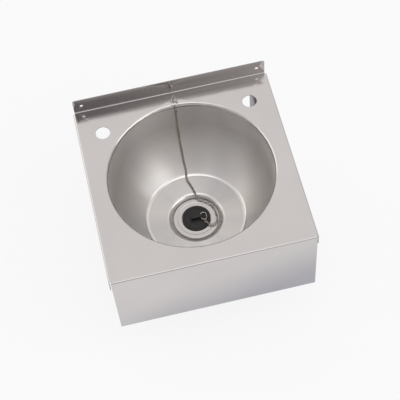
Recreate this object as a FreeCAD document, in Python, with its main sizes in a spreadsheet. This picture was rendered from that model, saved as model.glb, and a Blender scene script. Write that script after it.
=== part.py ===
import FreeCAD, Part
import math
import os
import Sketcher

# Stainless steel hand wash sink: a folded sheet basin with a round pressed bowl, to be screwed to a wall.
# Millimetres. X runs to the right, Y towards the wall, Z up. The origin lies on the wall plane, midway
# between the two screw holes of the upstand. Every sub-part is drawn about its own centre line, with the
# deck's top face at height 0, and its Placement takes it from there to the origin above.

# Driving sizes -------------------------------------------------------------------------------------------
SIZES = {
    # folded top sheet
    "Width": 300.0,
    "RearDeck": 23.0,
    "FrontDeck": 25.0,
    "UpstandHeight": 28.0,
    "UpstandCorner": 3.0,
    "LipHeight": 25.0,
    "LipCorner": 4.0,
    "SideInset": 2.6,
    "SheetThickness": 1.2,
    "BendRadius": 2.4,
    "CornerRelief": 1.0,
    "ApronReturn": 12.0,
    "ScrewInset": 15.0,
    "ScrewHeight": 14.0,
    "ScrewHole": 5.0,
    "TapInset": 37.5,
    "TapBack": 47.5,
    "TapHole": 22.0,
    # side panels inside the lips
    "PanelGap": 0.3,
    "PanelTab": 12.0,
    "PanelReturn": 10.0,
    "WallFlange": 24.0,
    # pressed bowl
    "BowlRadius": 122.0,
    "RimRadius": 4.0,
    "CollarDepth": 6.0,
    "BowlThickness": 1.0,
    "WallCurve": 89.0,
    "CreaseAngle": 61.2,
    "BowlDepth": 127.0,
    "FloorFall": 2.0,
    "RecessRadius": 41.0,
    "RecessSlope": 3.5,
    "RecessDepth": 7.0,
    # waste
    "WasteGap": 0.6,
    "FlangeGap": 1.5,
    "WasteFlange": 2.0,
    "WasteBevel": 1.2,
    "TailRadius": 23.9,
    "TailLength": 68.0,
    "ThreadLength": 22.0,
    "ThreadDepth": 0.4,
    "TailChamfer": 1.0,
    "BoreRadius": 20.0,
    "LedgeDepth": 2.6,
    "SeatTaper": 0.6,
    "SeatLength": 8.0,
    "TopSeal": 1.5,
    "BottomSeal": 3.0,
    "SlipWasher": 1.0,
    "SealGap": 3.5,
    "NutCollar": 3.0,
    "NutHeight": 7.0,
    "NutAcrossFlats": 56.0,
    "NutFlange": 5.5,
    "ThreadGap": 0.1,
    # plug and its ring
    "PlugRadius": 22.0,
    "PlugGap": 0.6,
    "PlugHeight": 3.2,
    "PlugRim": 3.5,
    "PlugDish": 1.0,
    "PlugBevel": 0.8,
    "PlugBody": 9.0,
    "PlugBodyGap": 0.5,
    "PlugBodyTaper": 1.4,
    "GripLength": 19.0,
    "GripShift": 0.8,
    "GripWidth": 5.0,
    "GripHeight": 6.5,
    "GripCorner": 2.6,
    "RingHole": 2.6,
    "RingHoleEdge": 2.6,
    "RingHoleDrop": 2.85,
    "RingWire": 1.6,
    "RingLength": 10.0,
    "RingWidth": 14.0,
    "RingCorner": 3.2,
    "RestGap": 0.3,
    # chain stay
    "StayOffset": 2.0,
    "StayBehindRim": 8.5,
    "StayShank": 4.8,
    "StayHoleGap": 0.4,
    "StayCollar": 9.0,
    "StayCollarHeight": 3.0,
    "StayTail": 12.0,
    "EyeRadius": 3.0,
    "EyeWire": 2.0,
    "EyeSink": 0.3,
    "StayWasher": 0.8,
    "StayWasherWidth": 12.0,
    "StayNut": 8.0,
    "StayNutHeight": 4.0,
    "TriangleWire": 1.4,
    "TriangleTop": 5.0,
    "TriangleWidth": 12.0,
    "TriangleLength": 12.3,
    "TriangleCorner": 2.0,
    # chain
    "LinkPitch": 3.9,
    "LinkWire": 1.0,
    "LinkOpening": 2.2,
    "LinkGap": 0.4,
    "LinkLift": 0.2,
    "ChainDrift": 9.2,
    "ChainLoopRadius": 31.5,
}

# Places worked out from those sizes, as expressions that the sub-parts are bound to ------------------------
HALF = "(Sizes.Width / 2)"
WEB = f"({HALF} - Sizes.SideInset)"
RIM = "(Sizes.BowlRadius + Sizes.RimRadius)"
BACK = f"({RIM} + Sizes.RearDeck)"
FRONT = f"(-{RIM} - Sizes.FrontDeck)"
DECK_UNDER = "(-Sizes.SheetThickness)"
LIP_FRONT = f"({FRONT} + Sizes.BendRadius + Sizes.CornerRelief)"
LIP_BACK = f"({BACK} - Sizes.BendRadius - Sizes.CornerRelief)"
RECESS_TOP = "(-Sizes.BowlDepth - Sizes.FloorFall)"
RECESS_FLOOR = f"({RECESS_TOP} - Sizes.RecessDepth)"
RECESS_FOOT_RADIUS = "(Sizes.RecessRadius - Sizes.RecessSlope)"
WASTE_HOLE = "(Sizes.TailRadius + Sizes.WasteGap)"
SEAL_RADIUS = f"({RECESS_FOOT_RADIUS} - Sizes.SealGap)"
FLANGE_RADIUS = f"({RECESS_FOOT_RADIUS} - Sizes.FlangeGap)"
FLANGE_UNDER = f"({RECESS_FLOOR} + Sizes.TopSeal)"
FLANGE_TOP = f"({FLANGE_UNDER} + Sizes.WasteFlange)"
LEDGE = f"({FLANGE_TOP} - Sizes.LedgeDepth)"
LEDGE_RADIUS = "(Sizes.PlugRadius + Sizes.PlugGap)"
MOUTH_RADIUS = "(Sizes.BoreRadius + Sizes.SeatTaper)"
BOWL_UNDER = f"({RECESS_FLOOR} - Sizes.BowlThickness)"
APRON_FOOT = BOWL_UNDER
PLUG_TOP = f"({LEDGE} + Sizes.PlugHeight)"
PLUG_FACE = f"({PLUG_TOP} - Sizes.PlugDish)"
GRIP_TOP = f"({PLUG_FACE} + Sizes.GripHeight)"
GRIP_END = "(Sizes.GripLength / 2 + Sizes.GripShift)"
RING_X = f"({GRIP_END} - Sizes.RingHoleEdge)"
RING_Z = f"({GRIP_TOP} - Sizes.RingHoleDrop)"
STAY_Y = f"({RIM} + Sizes.StayBehindRim)"
EYE_Z = "(Sizes.StayCollarHeight + Sizes.EyeRadius - Sizes.EyeSink)"
LINK_HALF = "(Sizes.LinkOpening / 2 + Sizes.LinkWire)"
LINK_LIFT = f"({LINK_HALF} + Sizes.LinkLift)"
CREASE_ANGLE = "(Sizes.CreaseAngle * 1 deg)"
WALL_DEPTH = f"(Sizes.BowlDepth - Sizes.WallCurve * sin({CREASE_ANGLE}))"

DOC = FreeCAD.newDocument("HandWashSink")
SHEET = DOC.addObject("Spreadsheet::Sheet", "Sizes")
for row, (alias, number) in enumerate(SIZES.items(), start=1):
    SHEET.set(f"A{row}", alias)
    SHEET.set(f"B{row}", str(number))
    SHEET.setAlias(f"B{row}", alias)
DOC.recompute()


def size(expression):
    """Return the present value of an expression of the size sheet, in millimetres."""
    return float(SHEET.evalExpression(str(expression).replace("Sizes.", "")))


# Drawing helpers -------------------------------------------------------------------------------------------
def new_body(label, x="0", y=f"-{BACK}", z="-Sizes.ScrewHeight"):
    """Start a sub-part whose own origin stands at x, y, z of the whole sink."""
    owner = DOC.addObject("PartDesign::Body", label)
    owner.Label = label
    owner.setExpression("Placement.Base.x", x)
    owner.setExpression("Placement.Base.y", y)
    owner.setExpression("Placement.Base.z", z)
    return owner


def new_sketch(owner, label, plane="XY_Plane", height="0", shift="0"):
    """Start a sketch on one of the body's own origin planes, moved along its normal and along its own y."""
    sketch = owner.newObject("Sketcher::SketchObject", label)
    support = next(item for item in owner.Origin.OriginFeatures if item.Role == plane)
    sketch.AttachmentSupport = (support, [""])
    sketch.MapMode = "FlatFace"
    sketch.setExpression("AttachmentOffset.Base.z", height)
    sketch.setExpression("AttachmentOffset.Base.y", shift)
    return sketch


def hold(sketch, geometry, point, x, y):
    """Hold one point of the sketch at the place that two expressions give."""
    for kind, expression in (("DistanceX", x), ("DistanceY", y)):
        constraint = Sketcher.Constraint(kind, -1, 1, geometry, point, size(expression))
        number = sketch.addConstraint(constraint)
        sketch.setExpression(f"Constraints[{number}]", str(expression))


def outline(sketch, corners):
    """Draw a closed outline of straight sides whose corners are all held by expressions."""
    points = [FreeCAD.Vector(size(x), size(y), 0) for x, y in corners]
    sides = []
    for index, start in enumerate(points):
        end = points[(index + 1) % len(points)]
        sides.append(sketch.addGeometry(Part.LineSegment(start, end), False))
    for index, side in enumerate(sides):
        sketch.addConstraint(Sketcher.Constraint("Coincident", sides[index - 1], 2, side, 1))
        hold(sketch, side, 1, *corners[index])


def circle(sketch, x, y, radius):
    """Draw one circle whose centre and radius follow expressions."""
    centre = FreeCAD.Vector(size(x), size(y), 0)
    number = sketch.addGeometry(Part.Circle(centre, FreeCAD.Vector(0, 0, 1), size(radius)), False)
    hold(sketch, number, 3, x, y)
    radius_number = sketch.addConstraint(Sketcher.Constraint("Radius", number, size(radius)))
    sketch.setExpression(f"Constraints[{radius_number}]", str(radius))


def polygon(sketch, sides, apothem):
    """Draw a regular polygon about the sketch's origin, given its distance to a flat."""
    corners = []
    for index in range(sides):
        angle = (index + 0.5) * 360 / sides
        reach = f"({apothem}) / cos({180 / sides} deg)"
        corners.append((f"{reach} * cos({angle} deg)", f"{reach} * sin({angle} deg)"))
    outline(sketch, corners)


def pad(owner, label, sketch, length):
    """Raise a sketch by a length along its normal."""
    feature = owner.newObject("PartDesign::Pad", label)
    feature.Profile = sketch
    feature.setExpression("Length", str(length))
    DOC.recompute()
    return feature


def cut(owner, label, sketch, length):
    """Cut a sketch into the body against its normal, and make sure that something was cut."""
    before = owner.Shape.Volume
    feature = owner.newObject("PartDesign::Pocket", label)
    feature.Profile = sketch
    feature.setExpression("Length", str(length))
    DOC.recompute()
    if owner.Shape.Volume >= before - 1e-6:
        raise RuntimeError(f"{owner.Label}: {label} cuts nothing")
    return feature


def spin(owner, label, corners):
    """Turn an outline of radius and height pairs about the body's upright axis."""
    sketch = new_sketch(owner, f"{label}_outline", "XZ_Plane")
    outline(sketch, corners)
    feature = owner.newObject("PartDesign::Revolution", label)
    feature.Profile = sketch
    feature.ReferenceAxis = (sketch, ["V_Axis"])
    feature.Angle = 360
    DOC.recompute()
    return feature


def plate(owner, label, x_span, y_span, z_span):
    """Add one flat rectangular wall of sheet between three pairs of expressions."""
    sketch = new_sketch(owner, f"{label}_outline", "XY_Plane", z_span[0])
    (x_low, x_high), (y_low, y_high) = x_span, y_span
    outline(sketch, [(x_low, y_low), (x_high, y_low), (x_high, y_high), (x_low, y_high)])
    return pad(owner, label, sketch, f"{z_span[1]} - ({z_span[0]})")


def straight_edges(shape, places):
    """Name the straight edges that lie along an axis at two fixed coordinates, for each place of a list."""
    names = []
    for number, edge in enumerate(shape.Edges, start=1):
        if not isinstance(edge.Curve, Part.Line):
            continue
        start, end = edge.Vertexes[0].Point, edge.Vertexes[-1].Point
        for place in places:
            if all(abs(point[axis] - size(at)) < 1e-4 for axis, at in place.items() for point in (start, end)):
                names.append(f"Edge{number}")
                break
    return names


def round_edges(owner, label, names, radius):
    """Round the named edges of the body as it stands."""
    if not names:
        raise RuntimeError(f"{owner.Label}: {label} finds no edge")
    base = owner.Tip
    feature = owner.newObject("PartDesign::Fillet", label)
    feature.Base = (base, names)
    feature.setExpression("Radius", str(radius))
    DOC.recompute()
    return feature


def bent_line(corners, bend, offset, steps=3):
    """Return the corners of a closed line, offset outwards, whose bends are drawn with a few flats."""
    points = [FreeCAD.Vector(size(x), size(y), 0) for x, y in corners]
    line = []
    for index, corner in enumerate(points):
        back = (points[index - 1] - corner).normalize()
        on = (points[(index + 1) % len(points)] - corner).normalize()
        half_angle = back.getAngle(on) / 2
        centre = corner + (back + on).normalize() * (bend / math.sin(half_angle))
        first = math.atan2(-back.x, back.y) + math.pi
        for step in range(steps + 1):
            angle = first + (math.pi - 2 * half_angle) * step / steps
            reach = bend + offset
            line.append((centre.x + reach * math.cos(angle), centre.y + reach * math.sin(angle)))
    return line


def wire_loop(owner, corners, bend, wire):
    """Bend a closed loop of wire in the body's XY plane, through corners given anticlockwise."""
    half = size(wire) / 2
    sketch = new_sketch(owner, "wire_outline", "XY_Plane", f"-{wire} / 2")
    outline(sketch, bent_line(corners, size(bend), half))
    outline(sketch, bent_line(corners, size(bend), -half))
    pad(owner, "wire", sketch, wire)
    names = []
    for number, edge in enumerate(owner.Tip.Shape.Edges, start=1):
        if all(abs(abs(vertex.Point.z) - half) < 1e-6 for vertex in edge.Vertexes):
            names.append(f"Edge{number}")
    base = owner.Tip
    feature = owner.newObject("PartDesign::Chamfer", "wire_flats")
    feature.Base = (base, names)
    feature.setExpression("Size", f"{wire} * 0.17")
    DOC.recompute()


def rim_curve(bend, steps):
    """Return the points of a quarter turn about the rim's centre, from the deck down to the collar."""
    points = []
    for step in range(steps + 1):
        angle = f"{90 * step / steps} deg"
        radius = f"{RIM} - {bend} * sin({angle})"
        points.append((radius, f"{bend} * cos({angle}) - Sizes.RimRadius"))
    return points


# Folded top: deck, upstand, lips and apron -----------------------------------------------------------------
def make_basin_top():
    """Fold the top out of one sheet: deck, upstand at the wall, side lips and the deep front apron."""
    owner = new_body("basin_top")
    whole = (f"-{WEB}", WEB)
    inside = "Sizes.SheetThickness"
    plate(owner, "deck", whole, (FRONT, BACK), (DECK_UNDER, "0"))
    plate(owner, "upstand", whole, (f"{BACK} - {inside}", BACK), (DECK_UNDER, "Sizes.UpstandHeight"))
    plate(owner, "apron", whole, (FRONT, f"{FRONT} + {inside}"), (APRON_FOOT, "0"))
    plate(owner, "apron_return", whole, (FRONT, f"{FRONT} + Sizes.ApronReturn"),
          (APRON_FOOT, f"{APRON_FOOT} + {inside}"))
    plate(owner, "deck_sides", (f"-{HALF}", HALF), (LIP_FRONT, LIP_BACK), (DECK_UNDER, "0"))
    lip_span = (LIP_FRONT, LIP_BACK)
    plate(owner, "lip_right", (f"{HALF} - {inside}", HALF), lip_span, ("-Sizes.LipHeight", "0"))
    plate(owner, "lip_left", (f"-{HALF}", f"{inside} - {HALF}"), lip_span, ("-Sizes.LipHeight", "0"))

    inner_bends = [
        {1: f"{FRONT} + {inside}", 2: DECK_UNDER},
        {1: f"{FRONT} + {inside}", 2: f"{APRON_FOOT} + {inside}"},
        {1: f"{BACK} - {inside}", 2: "0"},
        {0: f"{HALF} - {inside}", 2: DECK_UNDER},
        {0: f"{inside} - {HALF}", 2: DECK_UNDER},
    ]
    round_edges(owner, "inner_bends", straight_edges(owner.Tip.Shape, inner_bends),
                f"Sizes.BendRadius - {inside}")
    outer_bends = [
        {1: FRONT, 2: "0"},
        {1: FRONT, 2: APRON_FOOT},
        {1: BACK, 2: DECK_UNDER},
        {0: HALF, 2: "0"},
        {0: f"-{HALF}", 2: "0"},
    ]
    round_edges(owner, "outer_bends", straight_edges(owner.Tip.Shape, outer_bends), "Sizes.BendRadius")
    upstand_corners = [{0: side, 2: "Sizes.UpstandHeight"} for side in (WEB, f"-{WEB}")]
    corner_edges = straight_edges(owner.Tip.Shape, upstand_corners)
    round_edges(owner, "upstand_corners", corner_edges, "Sizes.UpstandCorner")
    lip_corners = [{1: end, 2: "-Sizes.LipHeight"} for end in (LIP_FRONT, LIP_BACK)]
    round_edges(owner, "lip_corners", straight_edges(owner.Tip.Shape, lip_corners), "Sizes.LipCorner")

    # The opening's edge is drawn down into a short collar, which the bowl is welded to.
    opening = new_sketch(owner, "opening_outline")
    circle(opening, "0", "0", RIM)
    cut(owner, "opening", opening, f"{inside} * 2")
    top_curve = rim_curve("Sizes.RimRadius", 3)
    under_curve = rim_curve(f"(Sizes.RimRadius - {inside})", 2)
    spin(owner, "rim", [
        *top_curve,
        ("Sizes.BowlRadius", "-Sizes.CollarDepth"),
        (f"Sizes.BowlRadius + {inside}", "-Sizes.CollarDepth"),
        *reversed(under_curve),
    ])

    holes = new_sketch(owner, "deck_holes_outline")
    for side in ("", "-"):
        circle(holes, f"{side}({HALF} - Sizes.TapInset)", f"{BACK} - Sizes.TapBack", "Sizes.TapHole / 2")
    circle(holes, "Sizes.StayOffset", STAY_Y, "(Sizes.StayShank + Sizes.StayHoleGap) / 2")
    cut(owner, "deck_holes", holes, f"{inside} * 2")
    screws = new_sketch(owner, "screw_holes_outline", "XZ_Plane", f"-({BACK} - {inside})")
    for side in ("", "-"):
        circle(screws, f"{side}({HALF} - Sizes.ScrewInset)", "Sizes.ScrewHeight", "Sizes.ScrewHole / 2")
    cut(owner, "screw_holes", screws, f"{inside} * 2")
    return owner


# Side panels -----------------------------------------------------------------------------------------------
def make_side_panel(label, side):
    """Fold one side panel: a web inside the lip, a tab behind the apron and a flange on the wall."""
    owner = new_body(label)
    inside = "Sizes.SheetThickness"
    foot = f"({APRON_FOOT} + Sizes.BendRadius + Sizes.PanelGap)"
    head = "(-Sizes.BendRadius - Sizes.PanelGap)"
    front = f"({FRONT} + {inside})"

    def x_span(width):
        """Return the span of a wall that reaches inwards from the web's outer face."""
        return tuple(sorted((f"{side} * {WEB}", f"{side} * ({WEB} - ({width}))"), key=size))

    plate(owner, "web", x_span(inside), (front, BACK), (foot, head))
    plate(owner, "front_tab", x_span("Sizes.PanelTab"), (front, f"{front} + {inside}"), (foot, head))
    plate(owner, "wall_flange", x_span("Sizes.WallFlange"), (f"{BACK} - {inside}", BACK), (foot, head))
    plate(owner, "foot_return", x_span("Sizes.PanelReturn"), (front, BACK), (foot, f"{foot} + {inside}"))
    web_inner = f"{side} * ({WEB} - {inside})"
    inner_bends = [
        {0: web_inner, 1: f"{front} + {inside}"},
        {0: web_inner, 1: f"{BACK} - {inside}"},
        {0: web_inner, 2: f"{foot} + {inside}"},
    ]
    round_edges(owner, "inner_bends", straight_edges(owner.Tip.Shape, inner_bends),
                f"Sizes.BendRadius - {inside}")
    web_outer = f"{side} * {WEB}"
    outer_bends = [{0: web_outer, 1: front}, {0: web_outer, 1: BACK}, {0: web_outer, 2: foot}]
    round_edges(owner, "outer_bends", straight_edges(owner.Tip.Shape, outer_bends), "Sizes.BendRadius")
    return owner


# Bowl ------------------------------------------------------------------------------------------------------
def wall_point(share, offset="0"):
    """Return a point of the bowl's curved wall, a share of the way from its top down to the crease."""
    angle = f"({CREASE_ANGLE} * {share:.3f})"
    reach = f"(Sizes.WallCurve + ({offset}))"
    radius = f"Sizes.BowlRadius - Sizes.WallCurve + {reach} * cos({angle})"
    return radius, f"-{WALL_DEPTH} - {reach} * sin({angle})"


def make_bowl():
    """Press the bowl: an upright wall, a wide curve to a crease, a falling floor and the waste recess."""
    owner = new_body("bowl")
    wall = "Sizes.BowlThickness"
    bands = 4
    inner_wall = [wall_point(step / bands) for step in range(bands + 1)]
    outer_wall = [wall_point(step / bands, wall) for step in range(bands, -1, -1)]
    spin(owner, "pressing", [
        ("Sizes.BowlRadius", "-Sizes.CollarDepth"),
        *inner_wall,
        ("Sizes.RecessRadius", RECESS_TOP),
        (RECESS_FOOT_RADIUS, RECESS_FLOOR),
        (WASTE_HOLE, RECESS_FLOOR),
        (WASTE_HOLE, BOWL_UNDER),
        (f"{RECESS_FOOT_RADIUS} + {wall} * 0.6", BOWL_UNDER),
        (f"Sizes.RecessRadius + {wall} * 0.6", f"{RECESS_TOP} - {wall}"),
        *outer_wall,
        (f"Sizes.BowlRadius + {wall}", "-Sizes.CollarDepth"),
    ])
    return owner


# Waste -----------------------------------------------------------------------------------------------------
def make_waste_body():
    """Turn the flanged waste: the plug's ledge, a tapered mouth, a bored tail, its thread and a plain end."""
    owner = new_body("waste_body")
    tail_end = f"({FLANGE_UNDER} - Sizes.TailLength)"
    thread_end = f"({FLANGE_UNDER} - Sizes.ThreadLength)"
    plain = "(Sizes.TailRadius - Sizes.ThreadDepth)"
    spin(owner, "turning", [
        (LEDGE_RADIUS, FLANGE_TOP),
        (LEDGE_RADIUS, LEDGE),
        (MOUTH_RADIUS, LEDGE),
        ("Sizes.BoreRadius", f"{LEDGE} - Sizes.SeatLength"),
        ("Sizes.BoreRadius", tail_end),
        (f"{plain} - Sizes.TailChamfer", tail_end),
        (plain, f"{tail_end} + Sizes.TailChamfer"),
        (plain, thread_end),
        ("Sizes.TailRadius", thread_end),
        ("Sizes.TailRadius", FLANGE_UNDER),
        (FLANGE_RADIUS, FLANGE_UNDER),
        (FLANGE_RADIUS, f"{FLANGE_TOP} - Sizes.WasteBevel"),
        (f"{FLANGE_RADIUS} - Sizes.WasteBevel", FLANGE_TOP),
    ])
    return owner


def make_waste_ring(label, bottom, thickness):
    """Cut a flat ring that goes round the waste's tail. Its rounds are drawn with many flats."""
    owner = new_body(label)
    disc = new_sketch(owner, "ring_outline", "XY_Plane", bottom)
    polygon(disc, 32, SEAL_RADIUS)
    polygon(disc, 32, WASTE_HOLE)
    pad(owner, "ring", disc, thickness)
    return owner


def make_waste_backnut(top):
    """Make the back nut: a round collar and a hexagon, threaded on the tail."""
    owner = new_body("waste_backnut")
    bore = "(Sizes.TailRadius + Sizes.ThreadGap)"
    collar = new_sketch(owner, "collar_outline", "XY_Plane", f"{top} - Sizes.NutCollar")
    polygon(collar, 32, "Sizes.NutAcrossFlats / 2 + Sizes.NutFlange")
    pad(owner, "collar", collar, "Sizes.NutCollar")
    hexagon = new_sketch(owner, "hexagon_outline", "XY_Plane", f"{top} - Sizes.NutCollar - Sizes.NutHeight")
    polygon(hexagon, 6, "Sizes.NutAcrossFlats / 2")
    pad(owner, "hexagon", hexagon, "Sizes.NutHeight")
    thread = new_sketch(owner, "thread_outline", "XY_Plane", top)
    circle(thread, "0", "0", bore)
    cut(owner, "thread", thread, "(Sizes.NutCollar + Sizes.NutHeight) * 1.1")
    return owner


# Plug and ring ---------------------------------------------------------------------------------------------
def make_plug():
    """Mould the rubber plug: a dished head on the ledge, a tapered body in the mouth and a grip bar."""
    owner = new_body("plug")
    body_radius = f"({MOUTH_RADIUS} - Sizes.PlugBodyGap)"
    body_foot = f"({LEDGE} - Sizes.PlugBody)"
    foot_radius = f"({body_radius} - Sizes.PlugBodyTaper)"
    spin(owner, "moulding", [
        ("0", PLUG_FACE),
        ("Sizes.PlugRadius - Sizes.PlugRim - Sizes.PlugDish", PLUG_FACE),
        ("Sizes.PlugRadius - Sizes.PlugRim", PLUG_TOP),
        ("Sizes.PlugRadius - Sizes.PlugBevel", PLUG_TOP),
        ("Sizes.PlugRadius", f"{PLUG_TOP} - Sizes.PlugBevel"),
        ("Sizes.PlugRadius", LEDGE),
        (body_radius, LEDGE),
        (foot_radius, body_foot),
        ("0", body_foot),
    ])
    grip = new_sketch(owner, "grip_outline", "XZ_Plane", "-Sizes.GripWidth / 2")
    start = f"({GRIP_END} - Sizes.GripLength)"
    foot = f"({PLUG_FACE} - Sizes.PlugDish / 2)"
    outline(grip, [
        (start, foot),
        (GRIP_END, foot),
        (GRIP_END, GRIP_TOP),
        (start, GRIP_TOP),
    ])
    pad(owner, "grip", grip, "Sizes.GripWidth")
    grip_ends = [{0: end, 2: GRIP_TOP} for end in (start, GRIP_END)]
    round_edges(owner, "grip_ends", straight_edges(owner.Tip.Shape, grip_ends), "Sizes.GripCorner")
    eye = new_sketch(owner, "ring_hole_outline", "XZ_Plane", "Sizes.GripWidth")
    circle(eye, RING_X, RING_Z, "Sizes.RingHole / 2")
    cut(owner, "ring_hole", eye, "Sizes.GripWidth * 2")
    return owner


def ring_tilt():
    """Angle that lets the ring's far side down on the plug's rim, in degrees."""
    reach = size("Sizes.RingLength - Sizes.RingWire")
    drop = size(f"{RING_Z} - {PLUG_TOP} - Sizes.RingWire / 2 - Sizes.RestGap")
    return math.degrees(math.asin(drop / reach))


def make_plug_ring():
    """Bend the ring that passes through the plug's grip bar and rests on the plug's rim."""
    z = f"{RING_Z} - Sizes.ScrewHeight"
    owner = new_body("plug_ring", RING_X, f"-{BACK}", z)
    reach = "(Sizes.RingLength - Sizes.RingWire)"
    spread = "((Sizes.RingWidth - Sizes.RingWire) / 2)"
    corners = [("0", f"-{spread}"), (reach, f"-{spread}"), (reach, spread), ("0", spread)]
    wire_loop(owner, corners, "Sizes.RingCorner", "Sizes.RingWire")
    owner.Placement.Rotation = FreeCAD.Rotation(FreeCAD.Vector(0, 1, 0), ring_tilt())
    return owner


# Chain stay ------------------------------------------------------------------------------------------------
def stay_body(label, z="-Sizes.ScrewHeight"):
    """Start a sub-part on the centre line of the stay's hole in the deck."""
    return new_body(label, "Sizes.StayOffset", f"{STAY_Y} - {BACK}", z)


def make_stay_eye():
    """Turn the stay's bolt with its collar, and bend the eye on top of it."""
    owner = stay_body("stay_eye")
    shank = "Sizes.StayShank / 2"
    collar = "Sizes.StayCollar / 2"
    spin(owner, "bolt", [
        ("0", "-Sizes.StayTail"),
        (shank, "-Sizes.StayTail"),
        (shank, "0"),
        (collar, "0"),
        (collar, "Sizes.StayCollarHeight * 0.4"),
        (f"{collar} * 0.6", "Sizes.StayCollarHeight"),
        ("0", "Sizes.StayCollarHeight"),
    ])
    eye = new_sketch(owner, "eye_outline", "YZ_Plane", "-Sizes.EyeWire / 2", EYE_Z)
    polygon(eye, 16, "(Sizes.EyeRadius + Sizes.EyeWire / 2)")
    polygon(eye, 16, "(Sizes.EyeRadius - Sizes.EyeWire / 2)")
    pad(owner, "eye", eye, "Sizes.EyeWire")
    return owner


def make_stay_washer():
    """Cut the washer under the stay's nut. Its rounds are drawn with flats."""
    owner = stay_body("stay_washer")
    disc = new_sketch(owner, "washer_outline", "XY_Plane", f"{DECK_UNDER} - Sizes.StayWasher")
    polygon(disc, 24, "Sizes.StayWasherWidth / 2")
    polygon(disc, 24, "(Sizes.StayShank + Sizes.StayHoleGap) / 2")
    pad(owner, "washer", disc, "Sizes.StayWasher")
    return owner


def make_stay_nut():
    """Make the nut that holds the stay under the deck."""
    owner = stay_body("stay_nut")
    top = f"{DECK_UNDER} - Sizes.StayWasher"
    hexagon = new_sketch(owner, "hexagon_outline", "XY_Plane", f"{top} - Sizes.StayNutHeight")
    polygon(hexagon, 6, "Sizes.StayNut / 2")
    pad(owner, "hexagon", hexagon, "Sizes.StayNutHeight")
    thread = new_sketch(owner, "thread_outline", "XY_Plane", top)
    circle(thread, "0", "0", "Sizes.StayShank / 2 + Sizes.ThreadGap / 2")
    cut(owner, "thread", thread, "Sizes.StayNutHeight * 1.1")
    return owner


def meeting_point(first, first_reach, second, second_reach):
    """Return the lower of the two points at given reaches from two points of the YZ plane."""
    across = second - first
    along = (across.Length**2 + first_reach**2 - second_reach**2) / (2 * across.Length)
    aside = math.sqrt(first_reach**2 - along**2)
    heading = FreeCAD.Vector(across).normalize()
    normal = FreeCAD.Vector(0, heading.z, -heading.y)
    return first + heading * along + normal * aside


def triangle_ends():
    """Return the middles of the triangle's top and bottom wires, from the bowl's centre line."""
    inside_eye = "Sizes.EyeRadius - (Sizes.EyeWire + Sizes.TriangleWire) / 2 - Sizes.RestGap"
    top_y = size(f"{STAY_Y} - ({inside_eye})")
    top = FreeCAD.Vector(size("Sizes.StayOffset"), top_y, size(EYE_Z))
    rim_y = size(RIM)
    rim_centre = FreeCAD.Vector(top.x, rim_y, -size("Sizes.RimRadius"))
    clear = size(f"Sizes.RimRadius + {LINK_HALF} + Sizes.RestGap")
    bottom = meeting_point(top, size("Sizes.TriangleLength"), rim_centre, clear)
    return top, bottom


def make_stay_triangle():
    """Bend the wire triangle that hangs from the stay's eye over the bowl's rim."""
    top, bottom = triangle_ends()
    owner = new_body("stay_triangle", "Sizes.StayOffset", f"{top.y} - {BACK}", f"{EYE_Z} - Sizes.ScrewHeight")
    top_half = "(Sizes.TriangleTop / 2)"
    half = "((Sizes.TriangleWidth - Sizes.TriangleWire) / 2)"
    length = "Sizes.TriangleLength"
    corners = [
        (f"-{half}", f"-{length}"),
        (half, f"-{length}"),
        (top_half, "0"),
        (f"-{top_half}", "0"),
    ]
    wire_loop(owner, corners, "Sizes.TriangleCorner", "Sizes.TriangleWire")
    slope = math.degrees(math.atan2(top.z - bottom.z, top.y - bottom.y))
    owner.Placement.Rotation = FreeCAD.Rotation(FreeCAD.Vector(1, 0, 0), slope)
    return owner


# Chain -----------------------------------------------------------------------------------------------------
def link_shape():
    """Return one oval link about its own centre: long along X, open along Z, with three flats to an end."""
    wire = size("Sizes.LinkWire")
    inner = size("Sizes.LinkOpening") / 2
    end_reach = inner * math.cos(math.radians(30))
    straight = (size("Sizes.LinkPitch + Sizes.LinkGap") - 2 * end_reach) / 2

    def oval(radius):
        """Return a closed oval wire with the given half width."""
        points = []
        for end, first in ((1, -90), (-1, 90)):
            for step in range(4):
                angle = math.radians(first + step * 60)
                x = end * straight + radius * math.cos(angle)
                points.append(FreeCAD.Vector(x, radius * math.sin(angle), -wire / 2))
        return Part.makePolygon(points + points[:1])

    face = Part.Face(oval(inner + wire)).cut(Part.Face(oval(inner)))
    return face.extrude(FreeCAD.Vector(0, 0, wire)).Solids[0]


def floor_knot(x, y, height):
    """Return a point of the chain's route a clear lift above a height of the floor."""
    return FreeCAD.Vector(x, y, height + size(LINK_LIFT))


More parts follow.
